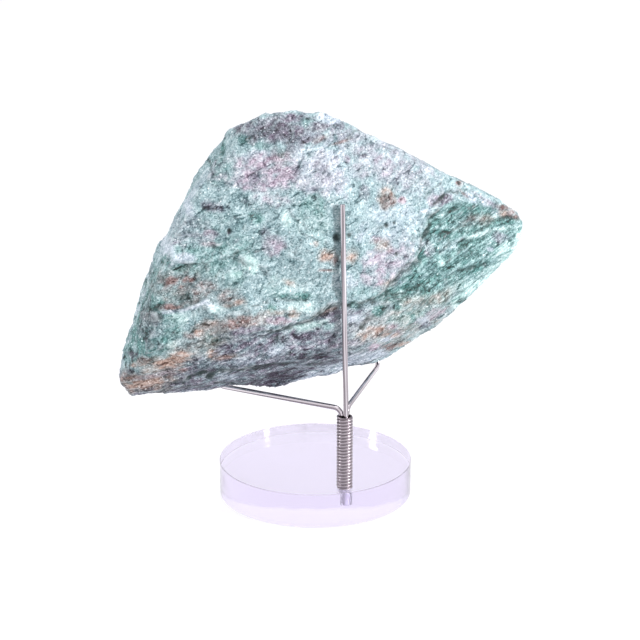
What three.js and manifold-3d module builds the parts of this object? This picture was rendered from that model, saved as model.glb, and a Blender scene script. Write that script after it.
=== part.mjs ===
// A rough block of fuchsite schist resting in a three-wire display stand with a clear acrylic foot.
// Millimetres, +Z up. The origin is the centre of the foot's underside. +Y runs along the stand's
// middle, from the stem at the rear (-Y) towards the two hooks that hold the stone's keel.
import * as THREE from "three";
import { ConvexGeometry } from "three/addons/geometries/ConvexGeometry.js";
import { ImprovedNoise } from "three/addons/math/ImprovedNoise.js";
import { TessellateModifier } from "three/addons/modifiers/TessellateModifier.js";
import { mergeVertices } from "three/addons/utils/BufferGeometryUtils.js";
import Module from "manifold-3d";

const wasm = await Module();
wasm.setup();

// Driving dimensions of the stand
const FOOT_DIAMETER = 76.2; // a 3 inch disc
const FOOT_HEIGHT = 13.5;
const FOOT_CHAMFER = 0.5;
const FOOT_SIDES = 72;
const STEM_OFFSET = 32.4; // from the foot's centre, towards the rear
const STEM_DIAMETER = 6.2; // over the ridges: a 1/4 inch, 20 turns to the inch thread
const STEM_PITCH = 25.4 / 20;
const STEM_RIDGE_DEPTH = 0.5;
const PIN_DIAMETER = 4.0; // the stem's plain lower end, pressed into the foot
const PIN_LENGTH = 6.0;
const STEM_TOP = 42.7;
const STEM_SIDES = 16;
const HOLE_CLEARANCE = 0.2;
const WIRE_DIAMETER = 2.0;
const WIRE_GAP = 0.12; // between the wires, and from the wires to the bore
const WIRE_BEND_RADIUS = 3.2;
const WIRE_SIDES = 10;
const BORE_DEPTH = 12.0;
const POST_TOP = 125.7;
const POST_LEAN = new THREE.Vector2(-1.6, 0.4); // how far the post's top leans over, in x and y
const ARM_START = 45.6; // height of the arms just outside the stem
const HOOK_LEFT = new THREE.Vector3(-39.1, 2.8, 48.0);
const HOOK_RIGHT = new THREE.Vector3(27.7, 2.5, 48.0);
const HOOK_RISE = new THREE.Vector3(0, 1.8, 15.5);

// Corners of the broken block. The rear face is the broad one that looks along -Y.
const REAR_FACE = [
  [-34, -24, 157], // crown, left end
  [-28, -24, 159.5],
  [-7, -23, 159], // crown, right end
  [33, -20, 137],
  [70, -14.5, 114.5], // shoulder above the right tip
  [-45, -22, 144],
  [-64, -23, 114],
  [-3, -31.8, 125], // the bulge that leans on the post
  [0, -30.9, 88], // the fold, where the face turns under
  [41, -26, 98],
  [-44, -30, 82],
  [-73, -24, 74],
  [-80, -17, 64],
];
const UNDER_FACE = [
  [2, -30.2, 70],
  [-33, -24.5, 63],
  [42, -18, 75],
];
const KEEL = [
  [-82, -12, 59],
  [-77, -10, 53],
  [-63, -6, 53.6],
  [-39, -1, 49.6],
  [-20, -3, 49.5],
  [25.5, 0.6, 50],
  [28, -1, 52.5],
  [52, -3, 65],
  [73, -5, 82.5],
];
const LEFT_SIDE = [
  [-82, -8, 62],
  [-70, -6, 95],
  [-64.5, -6.5, 110],
  [-45, -10, 143],
  [-38.5, -15, 153],
];
const RIGHT_TIP = [
  [56, -9, 124.6],
  [81, -8.5, 110.4],
  [85, -9, 104],
  [82, -9, 95],
  [78, -8, 89],
];
const FRONT_FACE = [
  [-38, -1, 134],
  [-8, 2, 141],
  [30, 3, 122],
  [-60, 3, 88],
  [-30, 8, 100],
  [-5, 9, 92],
  [22, 8, 88],
  [50, 5, 92],
  [-58, 2, 66],
];

// The lump that hangs below the keel between the two arms.
const KEEL_LUMP = [
  [-34, -4, 54],
  [-29, 0, 49.5],
  [-25, 1.5, 46],
  [-16, 2, 44.8],
  [-8, 1.5, 46],
  [4, -1.5, 47.8],
  [13, -2, 49],
  [-20, -9, 58],
  [-31, 1.5, 60],
  [-22, 5, 72],
  [2, 5, 72],
  [13, 1, 56],
];

// Scars where a sheet of mica schist has flaked off. Each has its outline in x and z, and leaves
// a flat cleavage face through the three points of floor.
const RIGHT_SCAR = {
  outline: [
    [47, 132], [39, 126], [37, 117], [33, 112], [34, 106], [28, 98],
    [24, 92], [17, 88], [40, 80], [95, 80], [95, 114],
  ],
  floor: [[37, -20.8, 117], [24, -25.4, 92], [78, -10.9, 103]],
};
const UNDER_SCAR = {
  outline: [
    [20, 89], [8, 90], [0, 88.5], [-8, 85], [-17, 83.5], [-29, 79],
    [-41, 77], [-55, 71], [-70, 68], [-70, 55], [20, 55],
  ],
  floor: [[0, -29.7, 87], [-41, -26.6, 77], [0, -29.6, 71]],
};
const LEFT_SCAR = {
  outline: [
    [-90, 99], [-66, 108], [-50, 106], [-42, 109], [-31, 103], [-24, 92],
    [-32, 90], [-44, 88], [-52, 92], [-67, 87.5], [-90, 89],
  ],
  floor: [[-31, -28.4, 103], [-52, -26, 92], [-66, -21.3, 108]],
};
const FRONT_SCAR = {
  outline: [
    [-75, 100], [-52, 96], [-38, 104], [-20, 99], [-4, 106], [14, 96],
    [28, 99], [50, 92], [95, 96], [95, 150], [-75, 150],
  ],
  floor: [[-30, 5.8, 100], [22, 4.8, 96], [-8, 1.8, 138]],
};

const STONE_EDGE = 7.0; // longest triangle edge on the stone
const LUMPS = [
  { size: 26, height: 1.5 },
  { size: 9, height: 1.0 },
];

// A closed three.js geometry as a manifold-3d solid.
function solid(geometry) {
  const bare = new THREE.BufferGeometry();
  bare.setAttribute("position", geometry.getAttribute("position").clone());
  bare.setIndex(geometry.index ? geometry.index.clone() : null);
  const merged = mergeVertices(bare, 1e-4);
  const triVerts = new Uint32Array(merged.index.array);
  const vertProperties = merged.getAttribute("position").array;
  return new wasm.Manifold(new wasm.Mesh({ numProp: 3, vertProperties, triVerts }));
}

// A manifold-3d solid as a three.js geometry.
function geometryOf(manifold) {
  const mesh = manifold.getMesh();
  const geometry = new THREE.BufferGeometry();
  geometry.setAttribute("position", new THREE.BufferAttribute(mesh.vertProperties, 3));
  geometry.setIndex(new THREE.BufferAttribute(mesh.triVerts, 1));
  return geometry;
}

function points(list) {
  return list.map((p) => new THREE.Vector3(...p));
}

// The block that a scar takes away: its outline carried along Y from far outside to its floor.
function scarCutter({ outline, floor }, outsideY) {
  const plane = new THREE.Plane().setFromCoplanarPoints(...points(floor));
  const shape = new THREE.Shape(outline.map(([x, z]) => new THREE.Vector2(x, z)));
  const cutter = new THREE.ExtrudeGeometry(shape, { depth: 1, steps: 1, bevelEnabled: false });
  cutter.rotateX(Math.PI / 2);
  const at = cutter.getAttribute("position");
  for (let i = 0; i < at.count; i++) {
    const atRearEnd = at.getY(i) < -0.5;
    const slope = plane.constant + plane.normal.x * at.getX(i) + plane.normal.z * at.getZ(i);
    at.setY(i, atRearEnd === outsideY < 0 ? outsideY : -slope / plane.normal.y);
  }
  return solid(cutter);
}

// Moves a point by smooth noise, so that flat breaks become uneven ones.
function weathered(noise, p) {
  const moved = p.clone();
  for (const { size, height } of LUMPS) {
    const q = p.clone().divideScalar(size);
    moved.x += height * noise.noise(q.x + 7.3, q.y, q.z);
    moved.y += height * noise.noise(q.x, q.y + 3.1, q.z + 9.7);
    moved.z += height * noise.noise(q.x, q.y + 5.9, q.z - 4.2);
  }
  return moved;
}

function stoneGeometry() {
  const corners = [...REAR_FACE, ...UNDER_FACE, ...KEEL, ...LEFT_SIDE, ...RIGHT_TIP, ...FRONT_FACE];
  let block = solid(new ConvexGeometry(points(corners)));
  block = block.add(solid(new ConvexGeometry(points(KEEL_LUMP))));
  for (const scar of [RIGHT_SCAR, UNDER_SCAR, LEFT_SCAR]) {
    block = block.subtract(scarCutter(scar, -90));
  }
  block = block.subtract(scarCutter(FRONT_SCAR, 60));
  const fine = new TessellateModifier(STONE_EDGE, 14).modify(geometryOf(block));
  const geometry = mergeVertices(fine, 1e-3);
  const at = geometry.getAttribute("position");
  const noise = new ImprovedNoise();
  for (let i = 0; i < at.count; i++) {
    const p = weathered(noise, new THREE.Vector3().fromBufferAttribute(at, i));
    at.setXYZ(i, p.x, p.y, p.z);
  }
  geometry.computeVertexNormals();
  return geometry;
}

// A wire's centre line: straight runs between the corners, with a round bend at each inner corner.
// Its stations lie close together only in the bends, so they aren't spaced evenly again.
class BentWire extends THREE.Curve {
  constructor(corners, bendRadius) {
    super();
    this.stations = [corners[0]];
    for (let i = 1; i < corners.length - 1; i++) {
      const corner = corners[i];
      const back = corners[i - 1].clone().sub(corner).normalize();
      const onward = corners[i + 1].clone().sub(corner).normalize();
      const reach = bendRadius / Math.tan(back.angleTo(onward) / 2);
      const start = corner.clone().addScaledVector(back, reach);
      const end = corner.clone().addScaledVector(onward, reach);
      this.stations.push(...new THREE.QuadraticBezierCurve3(start, corner, end).getPoints(6));
    }
    this.stations.push(corners[corners.length - 1]);
  }
  getUtoTmapping(u) {
    return u;
  }
  getPoint(t) {
    const place = t * (this.stations.length - 1);
    const i = Math.min(Math.floor(place), this.stations.length - 2);
    return this.stations[i].clone().lerp(this.stations[i + 1], place - i);
  }
}

function wireGeometry(corners) {
  const line = new BentWire(corners, WIRE_BEND_RADIUS);
  const section = new THREE.Shape().absarc(0, 0, WIRE_DIAMETER / 2, 0, 2 * Math.PI);
  return new THREE.ExtrudeGeometry(section, {
    extrudePath: line,
    steps: line.stations.length - 1,
    curveSegments: WIRE_SIDES / 2,
    bevelEnabled: false,
  });
}

// The three wires stand side by side in the stem's bore, the post at the rear.
const NEST_RADIUS = (WIRE_DIAMETER + WIRE_GAP) / Math.sqrt(3);
const BORE_RADIUS = NEST_RADIUS + WIRE_DIAMETER / 2 + WIRE_GAP;
const WIRE_FOOT = STEM_TOP - BORE_DEPTH + 0.5;

function nestPlace(turn, z) {
  const angle = -Math.PI / 2 + turn * ((2 * Math.PI) / 3);
  return new THREE.Vector3(NEST_RADIUS * Math.cos(angle), NEST_RADIUS * Math.sin(angle) - STEM_OFFSET, z);
}

function postGeometry() {
  const tip = nestPlace(0, POST_TOP);
  tip.x += POST_LEAN.x;
  tip.y += POST_LEAN.y;
  return wireGeometry([nestPlace(0, WIRE_FOOT), nestPlace(0, STEM_TOP + WIRE_BEND_RADIUS), tip]);
}

function armGeometry(turn, hook) {
  return wireGeometry([
    nestPlace(turn, WIRE_FOOT),
    nestPlace(turn, ARM_START),
    hook,
    hook.clone().add(HOOK_RISE),
  ]);
}

function stemGeometry() {
  const shoulder = FOOT_HEIGHT + HOLE_CLEARANCE;
  const crest = STEM_DIAMETER / 2;
  const valley = crest - STEM_RIDGE_DEPTH;
  const turns = Math.floor((STEM_TOP - shoulder) / STEM_PITCH);
  const profile = [
    new THREE.Vector2(0, FOOT_HEIGHT - PIN_LENGTH),
    new THREE.Vector2(PIN_DIAMETER / 2, FOOT_HEIGHT - PIN_LENGTH),
    new THREE.Vector2(PIN_DIAMETER / 2, shoulder),
    new THREE.Vector2(valley, shoulder),
  ];
  for (let i = 0; i < turns; i++) {
    const z = shoulder + (i + 0.5) * STEM_PITCH;
    profile.push(new THREE.Vector2(crest, z), new THREE.Vector2(valley, z + STEM_PITCH / 2));
  }
  profile.push(
    new THREE.Vector2(valley, STEM_TOP),
    new THREE.Vector2(BORE_RADIUS, STEM_TOP),
    new THREE.Vector2(BORE_RADIUS, STEM_TOP - BORE_DEPTH),
    new THREE.Vector2(0, STEM_TOP - BORE_DEPTH),
  );
  return new THREE.LatheGeometry(profile, STEM_SIDES).rotateX(Math.PI / 2).translate(0, -STEM_OFFSET, 0);
}

function footGeometry() {
  const radius = FOOT_DIAMETER / 2;
  const profile = [
    new THREE.Vector2(0, 0),
    new THREE.Vector2(radius - FOOT_CHAMFER, 0),
    new THREE.Vector2(radius, FOOT_CHAMFER),
    new THREE.Vector2(radius, FOOT_HEIGHT - FOOT_CHAMFER),
    new THREE.Vector2(radius - FOOT_CHAMFER, FOOT_HEIGHT),
    new THREE.Vector2(0, FOOT_HEIGHT),
  ];
  const disc = new THREE.LatheGeometry(profile, FOOT_SIDES).rotateX(Math.PI / 2);
  const holeRadius = PIN_DIAMETER / 2 + HOLE_CLEARANCE;
  const holeDepth = PIN_LENGTH + HOLE_CLEARANCE;
  const hole = new THREE.CylinderGeometry(holeRadius, holeRadius, 2 * holeDepth, 32).rotateX(Math.PI / 2);
  hole.translate(0, -STEM_OFFSET, FOOT_HEIGHT);
  return geometryOf(solid(disc).subtract(solid(hole)));
}

const fuchsite = new THREE.MeshStandardMaterial({ color: 0x9cc4bc, roughness: 0.6, metalness: 0 });
const steel = new THREE.MeshStandardMaterial({ color: 0xc4bec2, roughness: 0.25, metalness: 1 });
const acrylic = new THREE.MeshStandardMaterial({
  color: 0xeeebfb,
  roughness: 0.05,
  metalness: 0,
  transparent: true,
  opacity: 0.35,
});

const assembly = new THREE.Group();
function addPiece(name, geometry, material) {
  const piece = new THREE.Mesh(geometry, material);
  piece.name = name;
  assembly.add(piece);
  return piece;
}

addPiece("acrylic_foot", footGeometry(), acrylic);
addPiece("threaded_stem", stemGeometry(), steel);
addPiece("rear_post", postGeometry(), steel);
addPiece("right_arm", armGeometry(1, HOOK_RIGHT), steel);
addPiece("left_arm", armGeometry(2, HOOK_LEFT), steel);
addPiece("fuchsite_stone", stoneGeometry(), fuchsite);

export default assembly;
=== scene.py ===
import math
from functools import partial

import bmesh
import bpy
import numpy as np
from mathutils import Matrix, Vector, noise


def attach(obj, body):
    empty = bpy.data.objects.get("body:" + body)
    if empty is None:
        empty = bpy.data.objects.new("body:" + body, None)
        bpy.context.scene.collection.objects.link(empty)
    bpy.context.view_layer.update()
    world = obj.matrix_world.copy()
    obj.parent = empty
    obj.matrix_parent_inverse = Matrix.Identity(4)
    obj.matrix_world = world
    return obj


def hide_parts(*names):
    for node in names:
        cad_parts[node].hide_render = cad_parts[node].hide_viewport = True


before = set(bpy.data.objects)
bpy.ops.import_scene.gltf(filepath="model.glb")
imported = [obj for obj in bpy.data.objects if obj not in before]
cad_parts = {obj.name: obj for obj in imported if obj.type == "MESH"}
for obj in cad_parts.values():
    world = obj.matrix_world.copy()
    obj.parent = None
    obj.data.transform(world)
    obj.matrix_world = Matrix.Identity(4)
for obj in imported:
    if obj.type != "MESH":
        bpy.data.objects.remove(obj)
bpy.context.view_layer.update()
print("frame loaded:", sorted(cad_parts))

mm = 0.001
mergeDistance = 0.002 * mm
slack = 0.05 * mm  # keeps a mask clear of the edge that it follows


# Small helpers that every piece uses

def linear(hexColour):
    channels = [int(hexColour[i : i + 2], 16) / 255 for i in (1, 3, 5)]
    return tuple(c / 12.92 if c <= 0.04045 else ((c + 0.055) / 1.055) ** 2.4 for c in channels) + (1.0,)


def setSockets(node, sockets):
    # a socket takes a value, another node's output, or a node, which stands for its first output
    for key, value in sockets.items():
        if isinstance(value, bpy.types.Node):
            value = value.outputs[0]
        if isinstance(value, bpy.types.NodeSocket):
            node.id_data.links.new(value, node.inputs[key])
        else:
            node.inputs[key].default_value = value


def addNode(tree, kind, sockets, **settings):
    made = tree.nodes.new("ShaderNode" + kind)
    for field, value in settings.items():
        setattr(made, field, value)
    setSockets(made, sockets)
    return made


def newMaterial(name):
    # gives the material, a function that adds nodes to it, and its shader
    material = bpy.data.materials.new(name)
    material.use_nodes = True
    tree = material.node_tree
    return material, partial(addNode, tree), tree.nodes["Principled BSDF"]


def addPiece(name, bm, material, node):
    bmesh.ops.remove_doubles(bm, verts=bm.verts, dist=mergeDistance)
    bmesh.ops.recalc_face_normals(bm, faces=bm.faces)
    mesh = bpy.data.meshes.new(name)
    bm.to_mesh(mesh)
    bm.free()
    return placePiece(name, mesh, material, node)


def placePiece(name, mesh, material, node):
    mesh.materials.clear()
    mesh.materials.append(material)
    mesh.polygons.foreach_set("use_smooth", [True] * len(mesh.polygons))
    piece = bpy.data.objects.new(name, mesh)
    bpy.context.scene.collection.objects.link(piece)
    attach(piece, "root")
    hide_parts(node)
    return piece


def smoothStep(low, high, values):
    t = np.clip((values - low) / (high - low), 0, 1)
    return t * t * (3 - 2 * t)


# Camera at the photograph's angle, taken for a square image

camera = {
    "place": (-239.1, -650.1, 294.1),  # mm
    "looks": (0.331, 0.8925, -0.3064),
    "lens": 105.0,
    "sensor": 36.0,
    "clipStart": 0.01,  # m
}


def addCamera():
    data = bpy.data.cameras.new("photoCamera")
    data.lens = camera["lens"]
    data.sensor_width = camera["sensor"]
    data.clip_start = camera["clipStart"]
    seen = bpy.data.objects.new("photoCamera", data)
    seen.location = Vector(camera["place"]) * mm
    seen.rotation_euler = Vector(camera["looks"]).to_track_quat("-Z", "Y").to_euler()
    bpy.context.scene.collection.objects.link(seen)
    bpy.context.scene.camera = seen


addCamera()
print("camera set")


# Floor and soft studio light

studio = {
    "floorSize": 8.0,  # m
    "floorDrop": 0.3,  # mm, keeps the floor clear of the foot's underside
    "floorColour": "#77767c",
    "floorRoughness": 0.9,
    "floorSheen": 0.1,
    "floorGlow": 0.8,  # a light table: it keeps the paper white and almost without shadow
    "worldColour": "#fdfaff",
    "worldStrength": 1.0,
    "lights": [
        # name, place in mm, aim in mm, width in mm, watts
        ("keySoftbox", (1116, -1249, 510), (0, -20, 95), 210, 40),
        ("topSoftbox", (60, -60, 900), (0, 0, 60), 700, 3.0),
        ("fillSoftbox", (-880, 120, 330), (0, -10, 95), 180, 4.8),
    ],
}


def addStudio():
    bm = bmesh.new()
    bmesh.ops.create_grid(bm, x_segments=1, y_segments=1, size=studio["floorSize"] / 2)
    mesh = bpy.data.meshes.new("floor")
    bm.to_mesh(mesh)
    bm.free()
    material, _, shader = newMaterial("matt white paper sweep")
    setSockets(
        shader,
        {
            "Base Color": linear(studio["floorColour"]),
            "Roughness": studio["floorRoughness"],
            "Specular IOR Level": studio["floorSheen"],
            "Emission Color": (1, 1, 1, 1),
            "Emission Strength": studio["floorGlow"],
        },
    )
    mesh.materials.append(material)
    floor = bpy.data.objects.new("floor", mesh)
    floor.location.z = -studio["floorDrop"] * mm
    bpy.context.scene.collection.objects.link(floor)
    world = bpy.data.worlds.new("studio")
    world.use_nodes = True
    backdrop = world.node_tree.nodes["Background"]
    backdrop.inputs["Color"].default_value = linear(studio["worldColour"])
    backdrop.inputs["Strength"].default_value = studio["worldStrength"]
    bpy.context.scene.world = world
    for name, place, aim, width, watts in studio["lights"]:
        data = bpy.data.lights.new(name, "AREA")
        data.shape = "DISK"
        data.size = width * mm
        data.energy = watts
        lamp = bpy.data.objects.new(name, data)
        lamp.location = Vector(place) * mm
        lamp.rotation_euler = (Vector(aim) - Vector(place)).to_track_quat("-Z", "Y").to_euler()
        bpy.context.scene.collection.objects.link(lamp)
    bpy.context.scene.view_settings.view_transform = "Standard"


addStudio()
print("studio lit")


# The stand's wires: straight runs with round bends

stand = {
    "stemOffset": 32.4,  # mm from the foot's centre to the stem's axis
    "wireRadius": 1.0,
    "wireGap": 0.12,
    "wireSides": 28,
    "bendRadius": 3.2,
    "bendSteps": 10,  # for a right angle
    "straightBelow": 0.001,  # radians
    "cutEdge": 0.15,  # rounding on a wire's cut end
    "cutSteps": 3,
    "stemTop": 42.7,
    "boreDepth": 12.0,
    "footRoom": 0.5,  # between a wire's foot and the bottom of the bore
    "postTop": 125.7,
    "postLean": (-1.6, 0.4),
    "armStart": 45.6,
    "leftHook": (-39.1, 2.8, 48.0),
    "rightHook": (27.7, 2.5, 48.0),
    "hookRise": (0, 1.8, 15.5),
    "drawLine": 0.55,  # across the lines that the die leaves
    "drawDrift": 0.012,  # share of the length that the lines drift with
    # dark and light of the draw lines, partly painted reflection streaks
    "lineAndReflectionTones": [(0.38, "#867e83"), (0.62, "#e9e3e7")],
    "drawRoughness": {"To Min": 0.1, "To Max": 0.22},
}
nestRadius = (2 * stand["wireRadius"] + stand["wireGap"]) / math.sqrt(3)
boreRadius = nestRadius + stand["wireRadius"] + stand["wireGap"]


def nestPlace(turn, height):
    angle = -math.pi / 2 + turn * 2 * math.pi / 3
    return Vector((nestRadius * math.cos(angle), nestRadius * math.sin(angle) - stand["stemOffset"], height))


def bentWire(name, corners, material, node):
    bm = bmesh.new()
    corners = [corner * mm for corner in corners]
    bend = stand["bendRadius"] * mm
    heading = (corners[1] - corners[0]).normalized()
    at = corners[0]
    start = Matrix.Translation(at) @ heading.to_track_quat("Z", "Y").to_matrix().to_4x4()
    bmesh.ops.create_circle(bm, segments=stand["wireSides"], radius=stand["wireRadius"] * mm, matrix=start)
    around = bm.verts.layers.float_vector.new("around")
    for vert in bm.verts:
        # extruding carries it on, so the draw lines follow the bends
        vert[around] = start.inverted() @ vert.co
    rim = bm.edges[:]
    for i, corner in enumerate(corners[1:], start=1):
        turning = i < len(corners) - 1
        onward = (corners[i + 1] - corner).normalized() if turning else heading
        angle = heading.angle(onward)
        stop = corner - heading * bend * math.tan(angle / 2)
        grown = bmesh.ops.extrude_edge_only(bm, edges=rim)["geom"]
        bmesh.ops.translate(bm, vec=stop - at, verts=[g for g in grown if isinstance(g, bmesh.types.BMVert)])
        rim = [g for g in grown if isinstance(g, bmesh.types.BMEdge) and g.is_boundary]
        at = stop
        if turning and angle > stand["straightBelow"]:
            axis = heading.cross(onward).normalized()
            centre = stop + axis.cross(heading) * bend
            steps = max(1, round(stand["bendSteps"] * angle / (math.pi / 2)))
            spun = bmesh.ops.spin(bm, geom=rim, cent=centre, axis=axis, angle=angle, steps=steps)
            rim = [g for g in spun["geom_last"] if isinstance(g, bmesh.types.BMEdge)]
            at = corner + onward * bend * math.tan(angle / 2)
        heading = onward
    ends = [edge for edge in bm.edges if edge.is_boundary]
    bmesh.ops.holes_fill(bm, edges=ends, sides=0)
    bmesh.ops.bevel(
        bm,
        geom=ends,
        offset=stand["cutEdge"] * mm,
        offset_type="OFFSET",
        affect="EDGES",
        segments=stand["cutSteps"],
        profile=0.5,
        material=-1,
    )
    return addPiece(name, bm, material, node)


def drawnSteel():
    # Stainless wire drawn through a die: bright, with lines along its length that part the reflections;
    # their dark and light tones are partly painted reflection streaks
    material, add, shader = newMaterial("drawn stainless wire")
    place = add("TexCoord", {}).outputs["Object"]
    around = add("Attribute", {}, attribute_name="around").outputs["Vector"]
    drift = (stand["drawDrift"],) * 3
    drawn = add("VectorMath", {0: place, 1: drift, 2: around}, operation="MULTIPLY_ADD")
    lines = add("TexNoise", {"Vector": drawn, "Scale": 1 / (stand["drawLine"] * mm), "Detail": 2.0})
    # painted reflection streaks along the wire, partly real draw lines
    tone = add("ValToRGB", {"Fac": lines})
    for stop, (position, tint) in zip(tone.color_ramp.elements, stand["lineAndReflectionTones"]):
        stop.position = position
        stop.color = linear(tint)
    gloss = add("MapRange", {"Value": lines, **stand["drawRoughness"]})
    setSockets(shader, {"Base Color": tone, "Roughness": gloss, "Metallic": 1.0})
    return material


wireFoot = stand["stemTop"] - stand["boreDepth"] + stand["footRoom"]
steelWire = drawnSteel()
postTip = nestPlace(0, stand["postTop"]) + Vector((*stand["postLean"], 0))
postKnee = nestPlace(0, stand["stemTop"] + stand["bendRadius"])
wirePaths = {"rear_post": [nestPlace(0, wireFoot), postKnee, postTip]}
for turn, hookName, node in ((1, "rightHook", "right_arm"), (2, "leftHook", "left_arm")):
    hook = Vector(stand[hookName])
    armBend = nestPlace(turn, stand["armStart"])
    wirePaths[node] = [nestPlace(turn, wireFoot), armBend, hook, hook + Vector(stand["hookRise"])]
for name, node in zip(("uprightWire", "rightHookWire", "leftHookWire"), wirePaths):
    bentWire(name, wirePaths[node], steelWire, node)
print("wires bent")


# The stem: a hollow rod with a right-hand thread, and a plain pin below it in the foot

thread = {
    "crestRadius": 3.1,
    "depth": 0.45,
    "pitch": 25.4 / 20,
    "rowsPerPitch": 16,
    "sides": 64,
    "bottom": 13.7,
    "pinRadius": 2.0,
    "pinBottom": 7.5,
    "sharpAbove": 50,  # degrees
    "wear": 0.6,  # mm across a spot of wear
    "wearShare": 0.3,
    "tones": [(0.1, "#7b7378"), (0.95, "#a29a9f")],  # from the valleys to the crests; the darker valleys are painted shade
    "roughness": {"To Min": 0.45, "To Max": 0.32},
    "pinColour": "#f6f4f8",
}


def spunProfile(profile, sides):
    # a line of places, radius and height in mm, spun round the upright axis
    bm = bmesh.new()
    chain = [bm.verts.new((r * mm, 0, z * mm)) for r, z in profile]
    edges = [bm.edges.new(pair) for pair in zip(chain, chain[1:])]
    bmesh.ops.spin(
        bm, geom=edges, cent=(0, 0, 0), axis=(0, 0, 1), angle=2 * math.pi, steps=sides, use_merge=True
    )
    return bm


def axisDistance(add, place, offset):
    # distance from an upright axis, offset mm behind the foot's centre
    flat = add("VectorMath", {0: place, 1: (1, 1, 0), 2: (0, offset * mm, 0)}, operation="MULTIPLY_ADD")
    return add("VectorMath", {0: flat}, operation="LENGTH").outputs["Value"]


def threadRadius(angle, height):
    # rolled crests are round and the valleys between them narrow
    turn = height / thread["pitch"] - angle / (2 * math.pi)
    return thread["crestRadius"] - thread["depth"] * (0.5 - 0.5 * math.cos(2 * math.pi * turn)) ** 2


def threadedRod(material):
    top, bottom = stand["stemTop"], thread["bottom"]
    boreBottom = top - stand["boreDepth"]
    rows = round((top - bottom) / thread["pitch"] * thread["rowsPerPitch"])
    pin = thread["pinRadius"]
    profile = [(0, thread["pinBottom"]), (pin, thread["pinBottom"]), (pin, bottom)]
    profile += [(thread["crestRadius"], z) for z in np.linspace(bottom, top, rows + 1)]
    profile += [(boreRadius, top), (boreRadius, boreBottom), (0, boreBottom)]
    bm = spunProfile(profile, thread["sides"])
    middle = (boreRadius + thread["crestRadius"]) / 2 * mm  # only what lies outside it is threaded
    for vert in bm.verts:
        radius = vert.co.xy.length
        if radius > middle:
            wanted = threadRadius(math.atan2(vert.co.y, vert.co.x), vert.co.z / mm) * mm
            vert.co.xy *= wanted / radius
    bmesh.ops.translate(bm, verts=bm.verts, vec=(0, -stand["stemOffset"] * mm, 0))
    rod = addPiece("threadedRod", bm, material, "threaded_stem")
    rod.data.set_sharp_from_angle(angle=math.radians(thread["sharpAbove"]))
    return rod


def rolledSteel():
    # Zinc-bright rod with a rolled thread: glossy crests, and darker valleys that are painted shade
    material, add, shader = newMaterial("zinc bright threaded rod")
    place = add("TexCoord", {}).outputs["Object"]
    radius = axisDistance(add, place, stand["stemOffset"])
    crest = thread["crestRadius"] * mm
    valley = crest - thread["depth"] * mm
    height = add("MapRange", {"Value": radius, "From Min": valley, "From Max": crest})
    wear = add("TexNoise", {"Vector": place, "Scale": 1 / (thread["wear"] * mm), "Detail": 3.0})
    # random wear laid over the painted shade that darkens the valleys
    towardPale = add("Math", {0: wear, 1: thread["wearShare"], 2: height}, operation="MULTIPLY_ADD")
    tone = add("ValToRGB", {"Fac": towardPale})
    for stop, (position, tint) in zip(tone.color_ramp.elements, thread["tones"]):
        stop.position = position
        stop.color = linear(tint)
    gloss = add("MapRange", {"Value": towardPale, **thread["roughness"]})
    level = add("SeparateXYZ", {"Vector": place}).outputs["Z"]
    pin = add("Math", {0: level, 1: thread["bottom"] * mm - slack}, operation="LESS_THAN")
    turnedPin = add("Mix", {0: pin, 6: tone, 7: linear(thread["pinColour"])}, data_type="RGBA")
    setSockets(shader, {"Base Color": turnedPin.outputs[2], "Roughness": gloss, "Metallic": 1.0})
    return material


threadedRod(rolledSteel())
print("stem threaded")


# The foot: a polished disc of clear acrylic with a drilled hole for the stem's pin

foot = {
    "radius": 38.1,
    "height": 13.5,
    "edge": 0.15,  # polished rounding of both rims
    "edgeSteps": 4,
    "sides": 192,
    "holeRadius": 2.2,
    "holeDepth": 6.2,
    "holeSides": 48,
    "sharpAbove": 6,  # degrees
    "tint": "#f4efff",
    "ior": 1.49,
    "haze": 9,  # mm across a cloud of fine scratches
    "hazeRoughness": 0.05,
    "holeRoughness": 0.7,  # the drill leaves its wall frosted
    "wallRoughness": 0.1,
    "waveSize": 11,  # mm across a wave that the flame leaves in the wall
    "waveHeight": 0.25,
    "absorbs": {"Color": (0.4, 0.22, 0.92, 1), "Density": 1.3},
}


def acrylicDisc(material):
    radius, height, edge = foot["radius"], foot["height"], foot["edge"]
    quarter = [math.pi / 2 * i / foot["edgeSteps"] for i in range(foot["edgeSteps"] + 1)]
    profile = [(0, 0)]
    profile += [(radius - edge + edge * math.sin(a), edge - edge * math.cos(a)) for a in quarter]
    profile += [(radius - edge + edge * math.cos(a), height - edge + edge * math.sin(a)) for a in quarter]
    bm = spunProfile(profile, foot["sides"])
    bmesh.ops.remove_doubles(bm, verts=bm.verts, dist=mergeDistance)
    rim = [e for e in bm.edges if e.is_boundary]
    mouth = Matrix.Translation((0, -stand["stemOffset"] * mm, height * mm))
    holeRadius = foot["holeRadius"] * mm
    made = bmesh.ops.create_circle(bm, segments=foot["holeSides"], radius=holeRadius, matrix=mouth)
    ring = list({e for v in made["verts"] for e in v.link_edges})
    bmesh.ops.triangle_fill(bm, edges=rim + ring, use_beauty=True)
    grown = bmesh.ops.extrude_edge_only(bm, edges=ring)["geom"]
    verts = [g for g in grown if isinstance(g, bmesh.types.BMVert)]
    bmesh.ops.translate(bm, verts=verts, vec=(0, 0, -foot["holeDepth"] * mm))
    ring = [g for g in grown if isinstance(g, bmesh.types.BMEdge) and g.is_boundary]
    bmesh.ops.holes_fill(bm, edges=ring, sides=0)
    disc = addPiece("acrylicDisc", bm, material, "acrylic_foot")
    disc.data.set_sharp_from_angle(angle=math.radians(foot["sharpAbove"]))
    return disc


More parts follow.
